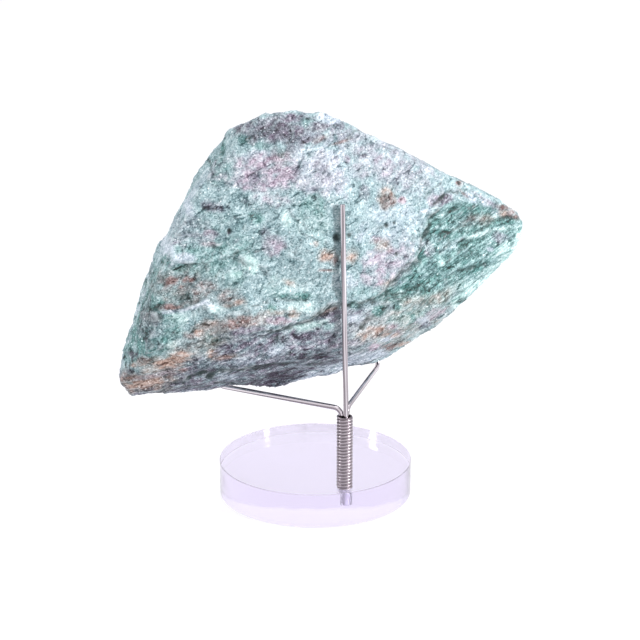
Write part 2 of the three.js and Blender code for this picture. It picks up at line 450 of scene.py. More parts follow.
def castAcrylic():
    # Cast acrylic sheet, sawn and flame polished: clear, with a faint lavender cast through its thickness
    material, add, shader = newMaterial("clear cast acrylic")
    place = add("TexCoord", {}).outputs["Object"]
    haze = add("TexNoise", {"Vector": place, "Scale": 1 / (foot["haze"] * mm), "Detail": 4.0})
    rough = add("MapRange", {"Value": haze, "To Min": 0.0, "To Max": foot["hazeRoughness"]})
    fromPin = axisDistance(add, place, stand["stemOffset"])
    holeWall = add("Math", {0: fromPin, 1: foot["holeRadius"] * mm, 2: slack}, operation="COMPARE")
    wallStart = (foot["radius"] - foot["edge"]) * mm
    wall = add("Math", {0: axisDistance(add, place, 0), 1: wallStart}, operation="GREATER_THAN")
    for mask, more in ((holeWall, foot["holeRoughness"]), (wall, foot["wallRoughness"])):
        rough = add("Math", {0: mask, 1: more, 2: rough}, operation="MULTIPLY_ADD")
    waves = add("TexNoise", {"Vector": place, "Scale": 1 / (foot["waveSize"] * mm), "Detail": 1.0})
    polished = add("Bump", {"Height": waves, "Strength": wall, "Distance": foot["waveHeight"] * mm})
    setSockets(shader, {"Base Color": linear(foot["tint"]), "Transmission Weight": 1.0, "IOR": foot["ior"]})
    setSockets(shader, {"Roughness": rough, "Normal": polished})
    absorption = add("VolumeAbsorption", foot["absorbs"])
    setSockets(shader.id_data.nodes["Material Output"], {"Volume": absorption})
    return material


acrylicDisc(castAcrylic())
print("foot polished")


# The stone: a remeshed copy of the solid, broken up by vertex moves

stone = {
    "voxel": 0.66,  # mm
    "smoothing": 4,
    "noiseFall": 0.8,  # how fast the finer waves of the noise weaken
    "noiseStep": 2.1,  # how much finer each of them is
    "rearFade": (0.05, 0.35),  # how squarely a place faces the photograph's side
    "seamFade": 1.5,  # mm over which the lower face begins
    "scarFade": 1.0,
    "swells": [(17, 0.6), (6.5, 0.26), (2.4, 0.12)],  # size and height of the unevenness, mm
    "sheetStep": 0.5,  # thickness of one loose mica sheet
    "sheetSize": 24,  # how far a sheet edge wanders
    "sheetStretch": (1, 2.2, 1.25),
    "sheetCount": 3.2,
    "sheetFray": (4, 0.25),  # size and reach of the small bites out of a sheet's edge
    "sheetEdge": 0.14,
    "sheetLoss": (0.7, 0.6),  # share of their height that sheets lose on the lower face and in the scar
    "lowerTurn": 15,  # degrees that the layers rise to the right on the lower face
    "scarTurn": 20,
    "farTurn": 4,
    "layerGap": 3.4,  # mm between layers where they come out edge-on
    "layerHeight": 0.45,
    "farGap": 4.5,
    "farHeight": 0.3,
    "ledgeLip": 0.5,
    "pitDepth": 0.8,  # of the pit's radius
    "flakeHeight": 0.6,  # of the mint flake over the face
    "flakeRim": 0.6,  # mm over which it rises
    "flakeFlat": 0.8,  # share of the unevenness that it loses
    "fray": [(6, 0.9), (2.2, 0.5)],  # size and reach of the wander in every line on the face
    "wireGap": 0.15,  # room left between the stone and the stand's wires
    "hollowRings": 3,  # rings of neighbours that a hollow is judged by
}

# The rear face is laid out as it is seen from this side: across is to the right, up stands square to it
faceAcross = np.array((0.9376, -0.3477, 0.0))
faceUp = np.array((0.1065, 0.2873, 0.9519))
faceOut = np.cross(faceAcross, faceUp)

# Regions of the rear face, in mm across and up it
lowerFace = [
    (-75, 47), (-57, 49.5), (-46, 53), (-37, 57), (-29.5, 61.5), (-21, 65), (-11, 64.5), (-5.5, 66.5),
    (1, 69), (5.5, 73.5), (11, 74), (17, 73.5), (26.5, 75), (36.5, 74), (48.5, 75.5), (61, 75.5),
    (82, 67.5), (41.5, 36), (-43.5, 29.5), (-80, 30.5),
]
rightScar = [
    (82.5, 107.5), (72, 109), (66, 112), (55.5, 113), (50, 112), (46.5, 109.5), (43, 106.5), (42, 102.5),
    (40, 99.5), (39.5, 94), (39, 90), (32.5, 87.5), (29.5, 83), (26, 79), (20, 75.5), (28.5, 74),
    (42.5, 74), (61, 73.5), (85, 95.5),
]
mintFlake = [(-28, 91.5), (-24.5, 91), (-20, 86.5), (-22, 85.5), (-24.5, 85.5), (-26, 89)]

# Ledges: the side on the left of the line's direction stands higher by step and falls away over reach
ledges = [
    # points, step, reach, darkness of the painted shade along the ledge
    (
        [
            (-19.5, 63.5), (-14.5, 63.5), (-10, 65), (-5.5, 66.5), (-1, 68.5), (2, 70.5), (5.5, 73.5),
            (11, 74), (16, 74), (21.5, 75.5), (25.5, 78.5),
        ],
        1.1, 6, 1.0,
    ),
    (
        [
            (25.5, 78.5), (29.5, 83), (32.5, 87), (39, 90), (39.5, 94), (40, 99.5), (42.5, 102.5),
            (42.5, 105.5), (46.5, 109.5),
        ],
        1.1, 6, 0.9,
    ),
    ([(-22, 72.5), (-29, 70.5), (-37, 72), (-40, 74.5), (-51, 70.5), (-56.5, 70.5)], 0.6, 5, 0.1),
    ([(-57.5, 41.5), (-54, 44), (-49, 45.5), (-45.5, 47.5), (-41, 49)], 0.8, 4, 1.0),
    ([(-40, 47), (-35.5, 49), (-28, 49.5), (-20, 50.5), (-12, 52), (-8.5, 52)], 0.8, 4, 1.0),
    ([(-56.5, 67), (-57, 70.5), (-60, 72), (-63, 71)], 0.6, 5, 0.5),
    ([(57, 98.5), (64, 99.5), (68, 102)], 0.6, 3, 0.5),
    ([(-5.5, 70.5), (1, 71), (5.5, 73.5)], 0.4, 4, 0.2),
]

# Open cracks: a groove of that width and depth
cracks = [
    # points, width, depth, darkness of the painted shade in the crack
    ([(-38, 44), (-32.5, 44), (-28.5, 42.5), (-26, 42)], 0.8, 0.6, 0.9),
    ([(17.5, 65), (19, 67), (20, 68.5), (22, 69)], 0.7, 0.6, 0.9),
    ([(44.5, 111.5), (47.5, 114.5), (51.5, 116.5), (54, 116.5)], 0.8, 0.7, 1.0),
    ([(41.5, 114), (44.5, 117), (48, 119)], 0.5, 0.4, 0.5),
    ([(48, 100.5), (54, 103), (60, 105)], 0.7, 0.5, 0.7),
    ([(64, 105), (70, 107), (74.5, 108), (80, 108)], 0.8, 0.6, 0.9),
    ([(56.5, 101.5), (63.5, 102), (68, 104.5)], 0.7, 0.4, 0.6),
    ([(48, 82.5), (52, 85), (57, 87), (66.5, 89.5)], 0.8, 0.5, 0.8),
    ([(50.5, 101.5), (51.5, 97.5), (48, 93.5)], 0.6, 0.4, 0.6),
    ([(47.5, 104), (53.5, 107.5)], 0.6, 0.4, 0.6),
    ([(-5.5, 124), (1, 129)], 0.5, 0.3, 0.4),
    ([(2.5, 121), (5, 124)], 0.5, 0.4, 0.6),
    ([(12, 134.5), (17, 138.5)], 0.6, 0.4, 0.7),
    ([(-11.5, 95), (-10, 93.5), (-8, 92.5)], 0.6, 0.5, 0.8),
    ([(21.5, 100.5), (26.5, 103)], 0.5, 0.4, 0.6),
    ([(-29.5, 91.5), (-27, 93), (-24.5, 94)], 0.6, 0.6, 0.9),
    ([(-37, 94), (-34.5, 93.5)], 0.6, 0.4, 0.7),
    ([(-13, 76), (-8.5, 74.5), (-3.5, 75)], 0.7, 0.5, 0.8),
    ([(21.5, 74), (24.5, 76.5), (28.5, 78), (33.5, 77.5)], 0.7, 0.5, 0.8),
    ([(-2.5, 50.5), (4, 51.5)], 0.7, 0.4, 0.7),
    ([(-2, 67.5), (-5.5, 66.5), (-9, 64.5)], 0.6, 0.5, 0.9),
    ([(-33.5, 132), (-32.5, 127)], 0.7, 0.4, 0.7),
    ([(-38, 125), (-36, 119)], 0.6, 0.4, 0.6),
    ([(41, 82), (36, 79), (32.5, 79.5)], 0.6, 0.4, 0.6),
    ([(-20.5, 61), (-16, 61), (-12, 62)], 0.8, 0.4, 0.7),
]

# Small pits, shallow dishes or, with a negative depth, swells, and a grain that stands proud
pits = [
    ((8, 98), 1.6), ((12.5, 99), 0.9), ((26.5, 103), 0.9), ((29.5, 104), 0.6), ((30.5, 92.5), 0.8),
    ((55, 120), 0.6), ((-31, 100), 0.8),
]
dishes = [((1, 81), (11, 6), 1.4), ((-42, 64), (11, 6.5), 0.9), ((7, 68), (9, 6), -1.3)]
goldGrain = {"at": (27, 113.5), "size": (2.7, 3.1), "height": 0.7, "rim": (1.1, 0.7)}

# Patches of colour on the rear face, a later one over an earlier one
patches = [
    # mineral, mm across and up, half width and half height in mm, turn in degrees, strength
    ("pale", 33.5, 120, 22, 14, -30, 0.1), ("mauve", 26, 127, 21, 11, -25, 0.35),
    ("pale", 30, 99.5, 12, 13, 0, 0.4), ("fresh", 1, 103.5, 7.5, 7.5, 0, 0.25),
    ("green", -39.5, 91.5, 17, 14, 0, 0.5), ("deep", -59.5, 66, 20, 11, 70, 1.0),
    ("plum", -15, 56.5, 30, 7.5, 10, 0.7), ("mauve", 30, 89.5, 13, 9, 30, 0.6),
    ("green", 60, 97, 25, 15, 20, 0.7), ("rust", 32.5, 67, 20, 7, 20, 0.4),
    ("plum", -9, 136, 18, 7, 0, 0.85), ("deep", -19, 136.5, 12, 7, -20, 0.4),
    ("plum", -17, 135.5, 9, 5.5, 0, 1.0), ("ink", -16, 135.5, 10, 5.5, 0, 0.65),
    ("plum", -9, 141, 3, 2, 0, 0.95), ("deep", -3, 139, 3, 2.5, 0, 0.85),
    ("plum", 1.5, 138, 5, 2, 10, 0.85), ("brown", 1.5, 137.5, 3.5, 1, 10, 0.5),
    ("brown", 2, 133.5, 3.5, 1, 25, 0.85), ("deep", -26, 132.5, 3, 2, 0, 0.7),
    ("green", -19, 130.5, 3, 1.5, 0, 0.7), ("deep", -33, 129.5, 1, 3, -10, 0.85),
    ("plum", -37, 122, 1, 3.5, -20, 0.85), ("pale", -19, 126.5, 9, 2.5, 5, 0.6),
    ("brown", -12, 126, 3, 3, 0, 0.5), ("mauve", -14.5, 120, 21, 8, 0, 0.7),
    ("green", -34, 121.5, 6, 6, 0, 0.45), ("plum", -27, 118, 1, 3.5, -10, 0.7),
    ("plum", -22, 118, 2, 2, 0, 0.55), ("pale", 2.5, 122.5, 10, 12, 0, 0.6),
    ("mauve", 2.5, 121.5, 9, 10, 0, 0.35), ("green", 0, 109.5, 6, 3.5, 0, 0.7),
    ("plum", -37, 109, 5, 2, -15, 0.5), ("pale", 5, 141.5, 4.5, 2.5, 5, 1.0),
    ("brown", 9, 132.5, 3.5, 0.5, 20, 0.7), ("plum", 12, 126.5, 2, 2, 0, 0.55),
    ("plum", 18, 128, 1.5, 1, 0, 0.6), ("mauve", 26, 124.5, 6, 5, 0, 0.5),
    ("rust", 27, 113.5, 2.5, 3, 0, 1.0), ("brown", 27.5, 112, 2, 2, 40, 0.85),
    ("mauve", 32.5, 112.5, 1.5, 1.5, 0, 1.0), ("rust", 32.5, 112.5, 1, 1.5, 0, 0.2),
    ("plum", 18.5, 115, 2.5, 3, 0, 0.4), ("plum", 50, 114, 5.5, 2, 25, 1.0),
    ("ink", 48, 113.5, 4, 1, 35, 1.0), ("mauve", 44.5, 113, 3, 2.5, 5, 0.6),
    ("brown", 55, 120, 1.5, 1, 5, 1.0), ("brown", 57, 116, 2.5, 0.5, -40, 0.85),
    ("pale", 60, 114.5, 4, 1.5, -30, 1.0), ("pale", 68, 112, 5, 2, -30, 0.95),
    ("mauve", 66, 114, 7, 1, -30, 0.6), ("brown", 76.5, 110, 4.5, 1.5, -25, 0.9),
    ("rust", 73.5, 109.5, 1.5, 1, 0, 0.85), ("pale", 41.5, 109, 3, 1.5, 0, 1.0),
    ("pale", 37.5, 104.5, 5.5, 3.5, 0, 0.4), ("mauve", 42, 94.5, 5, 4, 0, 0.6),
    ("deep", 47.5, 103.5, 5.5, 4, 30, 0.9), ("deep", 59, 109.5, 10, 3, 0, 0.85),
    ("brown", 60.5, 106.5, 4.5, 2, 15, 0.4), ("rust", 67.5, 107, 2.5, 1.5, 0, 0.35),
    ("deep", 74.5, 106, 6, 1.5, 0, 0.85), ("fresh", 72.5, 103, 9, 1.5, 10, 0.6),
    ("fresh", 62.5, 100.5, 5.5, 1, 15, 0.85), ("plum", 72.5, 100, 5, 2.5, 0, 0.55),
    ("pale", 51, 96, 4, 2.5, 20, 0.5), ("deep", 40, 92.5, 2.5, 3, 5, 1.0),
    ("deep", 54, 89, 12, 2, 20, 0.6), ("fresh", 49, 89.5, 2.5, 1.5, 0, 1.0),
    ("deep", 58.5, 86.5, 12, 2, 20, 0.85), ("deep", 47, 82, 3.5, 3.5, 0, 0.85),
    ("deep", 37, 85, 5.5, 3, 30, 0.65), ("deep", 34, 80.5, 2, 2, 0, 1.0),
    ("deep", 42, 79, 3, 2, 0, 0.95), ("pale", 32.5, 82, 1, 1, 0, 1.0),
    ("fresh", 62, 80.5, 12, 3.5, 30, 0.8), ("fresh", 76, 95.5, 3.5, 5.5, -25, 0.9),
    ("pale", 68.5, 95.5, 1.5, 1, 0, 0.95), ("green", -21.5, 104.5, 2.5, 2, 0, 0.7),
    ("fresh", -10.5, 104, 2, 3, 0, 1.0), ("deep", -1, 105.5, 6.5, 7.5, 0, 0.15),
    ("plum", -17.5, 97.5, 2, 4.5, 0, 0.4), ("mauve", -13, 95, 4, 3.5, 0, 0.6),
    ("rust", 5, 91.5, 3, 2, 0, 0.75), ("brown", 7.5, 89, 1.5, 1.5, 0, 1.0),
    ("brown", 4, 86, 3.5, 0.5, 0, 0.65), ("rust", 13.5, 91.5, 2, 2.5, 0, 0.65),
    ("rust", 0, 95.5, 1, 1, 0, 0.85), ("rust", -9.5, 81.5, 2.5, 1, -20, 0.55),
    ("mauve", 22.5, 97.5, 2.5, 2, 0, 0.85), ("rust", 23, 96.5, 2.5, 1.5, 0, 0.4),
    ("rust", 25.5, 95.5, 3, 2, 0, 0.55), ("mauve", 25, 84.5, 3.5, 3.5, 0, 0.7),
    ("rust", 27.5, 81.5, 2.5, 1.5, 40, 0.4), ("green", 18.5, 78, 6.5, 2, 5, 0.3),
    ("fresh", -12.5, 79.5, 7.5, 4.5, 0, 0.25), ("pale", 11, 82.5, 3.5, 4.5, 0, 0.4),
    ("pale", -46, 108.5, 2.5, 4, 20, 0.95), ("pale", -53.5, 94, 3, 6.5, 20, 1.0),
    ("ink", -60.5, 85.5, 1.5, 4, 10, 0.65), ("deep", -59, 85, 3, 5, 0, 0.85),
    ("plum", -46.5, 98.5, 2, 2, 0, 0.7), ("plum", -50.5, 96, 2, 1.5, 0, 0.65),
    ("plum", -43.5, 96, 1.5, 1, 0, 0.6), ("plum", -42, 97.5, 11, 3.5, 0, 0.4),
    ("plum", -44, 102, 9, 4, 0, 0.3), ("mauve", -37, 98.5, 3, 2, 0, 0.7),
    ("mauve", -37.5, 95, 4, 1.5, 0, 1.0), ("rust", -37.5, 95, 3, 1, 0, 0.35),
    ("ink", -31, 100, 1, 1.5, 0, 0.85), ("fresh", -24, 88, 3.5, 3, -35, 1.0),
    ("pale", -47, 90, 4.5, 2, 0, 1.0), ("deep", -45.5, 86, 6, 2, 5, 0.95),
    ("deep", -54, 89.5, 2, 2, 0, 0.7), ("brown", -46.5, 78.5, 11, 6, 0, 0.6),
    ("brown", -51.5, 82, 2, 1.5, 0, 1.0), ("brown", -45.5, 82.5, 2.5, 1.5, 0, 1.0),
    ("brown", -40, 80.5, 3.5, 2, 0, 0.95), ("brown", -53, 72, 4.5, 1.5, 0, 1.0),
    ("green", -30, 82.5, 4.5, 5, 0, 0.5), ("fresh", -28.5, 84.5, 3, 2, 0, 0.7),
    ("brown", -31.5, 76, 4.5, 3, 0, 0.6), ("deep", -50, 76.5, 5, 3, 0, 0.5),
    ("pale", -40, 74.5, 2, 1, 20, 1.0), ("fresh", -35.5, 71.5, 3.5, 1.5, -10, 1.0),
    ("rust", -31.5, 73, 1.5, 1, 0, 0.6), ("rust", -28.5, 74, 3, 1, 0, 0.6),
    ("deep", -60, 76, 3, 3, 0, 0.7), ("deep", -59, 69, 4.5, 3, 0, 0.9),
    ("brown", -60, 69, 3, 2, 0, 0.5), ("deep", -60, 62, 5, 3.5, 0, 0.95),
    ("ink", -60, 64, 11, 6, 75, 0.4), ("deep", -64, 58, 3, 3.5, 0, 0.95),
    ("deep", -54.5, 61, 3, 2, 0, 0.85), ("ink", -67, 55, 2, 2, 0, 0.7),
    ("brown", -63, 52.5, 2, 1.5, 0, 0.85), ("fresh", -49, 68.5, 6, 2.5, 10, 0.6),
    ("green", -50.5, 63, 4.5, 3.5, 0, 0.35), ("fresh", -52, 58.5, 2, 1.5, 0, 0.85),
    ("fresh", -52, 55, 3.5, 1.5, 15, 1.0), ("brown", -36.5, 62.5, 16, 4.5, 25, 0.6),
    ("rust", -39, 65, 6.5, 2, 20, 0.6), ("rust", -42.5, 63, 2, 1.5, 0, 1.0),
    ("brown", -45.5, 61.5, 3, 2, 0, 0.6), ("deep", -37, 61, 6.5, 3, 30, 0.7),
    ("rust", -37, 60, 6, 3.5, 30, 0.35), ("ink", -34, 61.5, 2, 1.5, 30, 0.55),
    ("rust", -23.5, 67.5, 8, 2, 10, 0.5), ("brown", -26.5, 66.5, 10, 3, 10, 0.8),
    ("rust", -38, 55.5, 2.5, 1.5, 20, 1.0), ("rust", -58, 51, 7.5, 2.5, 10, 1.0),
    ("rust", -52.5, 52.5, 10, 2.5, 15, 1.0), ("brown", -70, 45, 3.5, 4.5, 0, 1.0),
    ("ink", -68, 49, 3, 1.5, 0, 0.65), ("brown", -69.5, 43, 2, 2, 0, 1.0),
    ("rust", -67, 51, 1.5, 1, 0, 0.85), ("brown", -61.5, 44, 8, 3, 5, 0.35),
    ("rust", -61.5, 45, 9, 4, 5, 0.85), ("mauve", -57.5, 47.5, 10, 1, 10, 0.6),
    ("plum", -44.5, 50.5, 6, 2, 20, 0.85), ("brown", -49.5, 49, 3.5, 1, 10, 0.95),
    ("plum", -46.5, 44.5, 10, 1.5, 10, 0.7), ("pale", -33.5, 46.5, 5, 1.5, 0, 0.6),
    ("fresh", -4.5, 72.5, 6.5, 2, 0, 0.7), ("deep", -6, 76.5, 8, 1.5, 0, 0.65),
    ("green", -15.5, 72, 2.5, 2, 0, 0.7), ("rust", -8, 70, 2, 1.5, 0, 1.0),
    ("rust", -14.5, 70.5, 4.5, 1, 0, 0.5), ("rust", 3.5, 70.5, 4, 1, 20, 0.6),
    ("mauve", -13, 67.5, 5, 1.5, 0, 1.0), ("brown", -13, 67, 3.5, 1, 0, 0.4),
    ("fresh", -2.5, 65.5, 7.5, 1.5, 15, 1.0), ("green", 5.5, 66, 2.5, 2, 0, 0.6),
    ("plum", -1, 59, 13, 4.5, 0, 0.7), ("ink", -13, 60.5, 3, 1.5, 10, 0.7),
    ("plum", -25.5, 63.5, 9, 1.5, 10, 0.7), ("pale", -14.5, 56.5, 4.5, 2.5, 15, 0.7),
    ("plum", -27.5, 58, 10, 3.5, 15, 0.7), ("rust", -32, 54, 5, 1, 10, 0.65),
    ("pale", -27, 52.5, 7.5, 1.5, 5, 0.6), ("ink", -1, 54, 10, 2, 0, 0.7),
    ("pale", -7.5, 50, 5.5, 1, 0, 0.6), ("rust", -17, 41.5, 3, 0.5, 0, 0.5),
    ("pale", -1, 45, 11, 2.5, 10, 1.0), ("pale", 7.5, 49.5, 8, 1.5, 5, 1.0),
    ("ink", -20, 50, 10, 1, 5, 1.0), ("ink", -15, 46, 10, 3, 10, 1.0),
    ("ink", -20.5, 43, 10, 2.5, 5, 1.0), ("plum", 15.5, 56.5, 4, 1.5, 10, 0.25),
    ("mauve", 14.5, 59, 2.5, 2, 0, 0.5), ("pale", 15, 68.5, 3.5, 2, 0, 0.7),
    ("rust", 24.5, 63.5, 7, 2.5, 5, 0.85), ("brown", 24.5, 63.5, 7, 2.5, 5, 0.25),
    ("rust", 18.5, 61.5, 4, 1.5, 10, 0.55), ("mauve", 22.5, 57, 3, 1.5, 15, 1.0),
    ("pale", 28, 60.5, 3, 1, 15, 1.0), ("mauve", 31, 62.5, 2.5, 1.5, 15, 0.7),
    ("rust", 31, 62, 2, 1, 15, 0.6), ("brown", 29.5, 57, 3.5, 1.5, 15, 1.0),
    ("rust", 34, 58, 3.5, 1, 15, 0.7), ("pale", 18.5, 53, 12, 2.5, 10, 1.0),
    ("deep", 14.5, 73, 2.5, 2, 0, 0.95), ("deep", 24, 71, 3, 2.5, 0, 0.95),
    ("deep", 30.5, 72.5, 3.5, 2, 0, 0.85), ("ink", 29, 72.5, 2, 1.5, 0, 0.5),
    ("green", 38.5, 69.5, 12, 4, 15, 0.5), ("mauve", 45.5, 69.5, 7.5, 2, 20, 0.65),
    ("pale", 42, 67.5, 3, 1.5, 15, 0.95), ("plum", 43.5, 65.5, 2.5, 1.5, 20, 0.55),
    ("deep", 37.5, 69, 1.5, 1.5, 0, 0.85), ("mauve", 29, 65, 3, 1.5, 0, 0.6),
    ("rust", 49, 76.5, 6, 2.5, 15, 0.4), ("pale", 55, 77, 4, 2.5, 35, 0.5),
]
mineralAndHighlightLines = [
    # mineral, points, half width, strength
    # pale along the left rim: partly the mica, partly a painted highlight where light grazes the edge
    ("pale", [(-63.5, 79), (-65, 73), (-68.5, 64), (-70.5, 56.5), (-73, 50.5), (-74, 45.5)], 1.5, 0.55),
    # pale along a ledge's upper edge: partly the mica, partly a painted highlight on the lit edge
    ("pale", [(-55, 70.5), (-49, 71), (-43.5, 72.5), (-40, 74.5), (-37, 72)], 0.9, 0.95),
    # pale along the upper left rim: partly the mica, partly a painted highlight where light grazes the edge
    ("pale", [(-38.5, 122), (-45, 112), (-52, 101.5), (-57, 92.5), (-61.5, 84.5)], 1.9, 0.35),
    ("fresh", [(81, 101.5), (78.5, 95.5), (73.5, 89), (64.5, 82.5), (55, 75.5)], 2.7, 0.75),
    ("brown", [(55.5, 117.5), (59, 114.5)], 0.6, 0.6),
]
mineralNames = ["pale", "fresh", "mauve", "green", "deep", "rust", "brown", "plum", "ink"]
stains = ["rust", "brown"]  # iron stains fade out at their edges


seedSteps = (17.3, 5.1, 9.7)  # how far the noise moves on from one seed to the next


def noiseAt(points, size, seed, detail=1):
    # smooth noise of about -1 to 1 at points in mm
    shift = Vector([seed * step for step in seedSteps])
    places = [Vector(p) * (1 / size) + shift for p in points]
    if detail == 1:
        return np.array([noise.noise(p) for p in places])
    return np.array([noise.fractal(p, stone["noiseFall"], stone["noiseStep"], detail) for p in places])


def turned(x, z, degrees):
    a = math.radians(degrees)
    return x * math.cos(a) + z * math.sin(a), z * math.cos(a) - x * math.sin(a)


def lineDistance(x, z, points):
    # distance to a line of straight stretches, and which side of it each place is on
    best = np.full(len(x), np.inf)
    side = np.zeros(len(x))
    for (ax, az), (bx, bz) in zip(points, points[1:]):
        dx, dz = bx - ax, bz - az
        t = np.clip(((x - ax) * dx + (z - az) * dz) / (dx * dx + dz * dz), 0, 1)
        away = np.hypot(x - ax - t * dx, z - az - t * dz)
        closer = away < best
        best = np.where(closer, away, best)
        side = np.where(closer, np.sign(dx * (z - az) - dz * (x - ax)), side)
    return best, side


def insideBy(x, z, outline):
    # distance inside a closed outline, negative outside it
    away, _ = lineDistance(x, z, outline + outline[:1])
    crossings = np.zeros(len(x), int)
    for (ax, az), (bx, bz) in zip(outline, outline[1:] + outline[:1]):
        if az != bz:
            reach = ax + (z - az) / (bz - az) * (bx - ax)
            crossings += ((az > z) != (bz > z)) & (x < reach)
    return np.where(crossings % 2 == 1, away, -away)


ribs = {
    "bend": (9, 1.6),  # mm from one bend of a rib to the next, and how far it bends
    "bendStretch": (9, 3),  # how much longer the bends are along the layers, and into the stone
    "stretch": (12, 4),
    "contrast": 1.6,
}
frontToBack = [0, 2, 1]  # the order of axes that stacks the layers from front to back


def layerRibs(points, degrees, gap, seed):
    # mica layers seen edge-on: long thin ribs along the direction that degrees gives
    along, across = turned(points[:, 0], points[:, 2], degrees)
    inward = points[:, 1]
    size, reach = ribs["bend"]
    long, deep = ribs["bendStretch"]
    wander = noiseAt(np.stack([along / long, inward / deep, across], 1), size, seed)
    long, deep = ribs["stretch"]
    lines = noiseAt(np.stack([along / long, inward / deep, across + reach * wander], 1), gap, seed + 1, 3)
    return np.clip(lines * ribs["contrast"], -1, 1)


def remeshed(nodeName):
    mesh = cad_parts[nodeName].data.copy()
    bm = bmesh.new()
    bm.from_mesh(mesh)
    bmesh.ops.remove_doubles(bm, verts=bm.verts, dist=mergeDistance)
    bm.to_mesh(mesh)
    bm.free()
    draft = bpy.data.objects.new("stoneDraft", mesh)
    bpy.context.scene.collection.objects.link(draft)
    remesh = draft.modifiers.new("voxels", "REMESH")
    remesh.mode = "VOXEL"
    remesh.voxel_size = stone["voxel"] * mm
    shown = draft.evaluated_get(bpy.context.evaluated_depsgraph_get())
    fine = bpy.data.meshes.new_from_object(shown)
    bpy.data.objects.remove(draft)
    bm = bmesh.new()
    bm.from_mesh(fine)
    for _ in range(stone["smoothing"]):
        bmesh.ops.smooth_vert(
            bm, verts=bm.verts, factor=0.5, use_axis_x=True, use_axis_y=True, use_axis_z=True
        )
    bm.to_mesh(fine)
    bm.free()
    return fine


def readVerts(mesh):
    places = np.zeros(len(mesh.vertices) * 3, np.float32)
    normals = np.zeros(len(mesh.vertices) * 3, np.float32)
    mesh.vertices.foreach_get("co", places)
    mesh.vertices.foreach_get("normal", normals)
    return places.reshape(-1, 3).astype(float) / mm, normals.reshape(-1, 3).astype(float)


def hollowness(mesh, points, normals):
    # how far each vertex lies below the middle of its neighbours, in mm
    ends = np.zeros(len(mesh.edges) * 2, np.int32)
    mesh.edges.foreach_get("vertices", ends)
    a, b = ends.reshape(-1, 2).T
    middle = points
    for _ in range(stone["hollowRings"]):
        total = np.zeros_like(points)
        count = np.zeros(len(points))
        np.add.at(total, a, middle[b])
        np.add.at(total, b, middle[a])
        np.add.at(count, a, 1)
        np.add.at(count, b, 1)
        middle = total / count[:, None]
    return ((middle - points) * normals).sum(1)


def frayed(points):
    # places on the face with a small wander, so that no line on it runs smooth
    sideways, upward = 0, 0
    for i, (size, reach) in enumerate(stone["fray"]):
        sideways = sideways + reach * noiseAt(points, size, 51 + 2 * i)
        upward = upward + reach * noiseAt(points, size, 52 + 2 * i)
    return points @ faceAcross + sideways, points @ faceUp + upward


def wireRoom(points):
    # free room between each place and the stand's wires, in mm
    room = np.full(len(points), np.inf)
    for corners in wirePaths.values():
        for start, end in zip(corners, corners[1:]):
            first = np.array(start)
            along = np.array(end) - first
            t = np.clip((points - first) @ along / (along @ along), 0, 1)
            room = np.minimum(room, np.linalg.norm(points - first - t[:, None] * along, axis=1))
    return np.maximum(room - stand["wireRadius"] - stone["wireGap"], 0)


def breakSurface(mesh):
    points, normals = readVerts(mesh)
    across, up = points @ faceAcross, points @ faceUp
    rear = smoothStep(*stone["rearFade"], normals @ faceOut)
    seam, rim = stone["seamFade"], stone["scarFade"]
    lower = rear * smoothStep(-seam, seam, insideBy(across, up, lowerFace))
    scar = rear * smoothStep(-rim, rim, insideBy(across, up, rightScar)) * (1 - lower)
    rise = np.zeros(len(points))
    for seed, (size, height) in enumerate(stone["swells"]):
        rise += height * noiseAt(points, size, seed + 1, detail=3)
    sheets = noiseAt(points * stone["sheetStretch"], stone["sheetSize"], seed=11, detail=4)
    size, reach = stone["sheetFray"]
    sheets = sheets * stone["sheetCount"] + noiseAt(points, size, seed=12) * reach
    stepped = np.floor(sheets) + smoothStep(0.0, stone["sheetEdge"], sheets % 1)
    lowerLoss, scarLoss = stone["sheetLoss"]
    rise += (stepped - sheets) * stone["sheetStep"] * (1 - lowerLoss * lower) * (1 - scarLoss * scar)
    lowerRibs = layerRibs(points, stone["lowerTurn"], stone["layerGap"], seed=21)
    scarRibs = layerRibs(points, stone["scarTurn"], stone["layerGap"], seed=31)
    farRibs = layerRibs(points[:, frontToBack], stone["farTurn"], stone["farGap"], seed=41)
    rise += stone["layerHeight"] * (lower * lowerRibs + scar * scarRibs)
    rise += stone["farHeight"] * (1 - rear) * farRibs
    wanderAcross, wanderUp = frayed(points)
    for line, step, reach, _ in ledges:
        away, side = lineDistance(wanderAcross, wanderUp, line)
        rise += rear * step / 2 * side * np.exp(-away / reach) * smoothStep(0, stone["ledgeLip"], away)
    for line, width, depth, _ in cracks:
        away, _ = lineDistance(wanderAcross, wanderUp, line)
        rise -= rear * depth * np.exp(-((away / width) ** 2))
    for (px, pz), radius in pits:
        away = np.hypot(across - px, up - pz)
        rise -= rear * radius * stone["pitDepth"] * np.exp(-((away / radius) ** 2))
    for (px, pz), (wide, high), depth in dishes:
        rise -= rear * depth * np.exp(-(((across - px) / wide) ** 2) - ((up - pz) / high) ** 2)
    (px, pz), (wide, high) = goldGrain["at"], goldGrain["size"]
    grain = np.hypot((across - px) / wide, (up - pz) / high)
    rise += rear * goldGrain["height"] * smoothStep(*goldGrain["rim"], grain)
    flake = rear * smoothStep(0.0, stone["flakeRim"], insideBy(across, up, mintFlake))
    rise = rise * (1 - stone["flakeFlat"] * flake) + stone["flakeHeight"] * flake
    rise = np.minimum(rise, wireRoom(points))
    moved = points + normals * rise[:, None]
    mesh.vertices.foreach_set("co", (moved * mm).astype(np.float32).ravel())
    mesh.update()


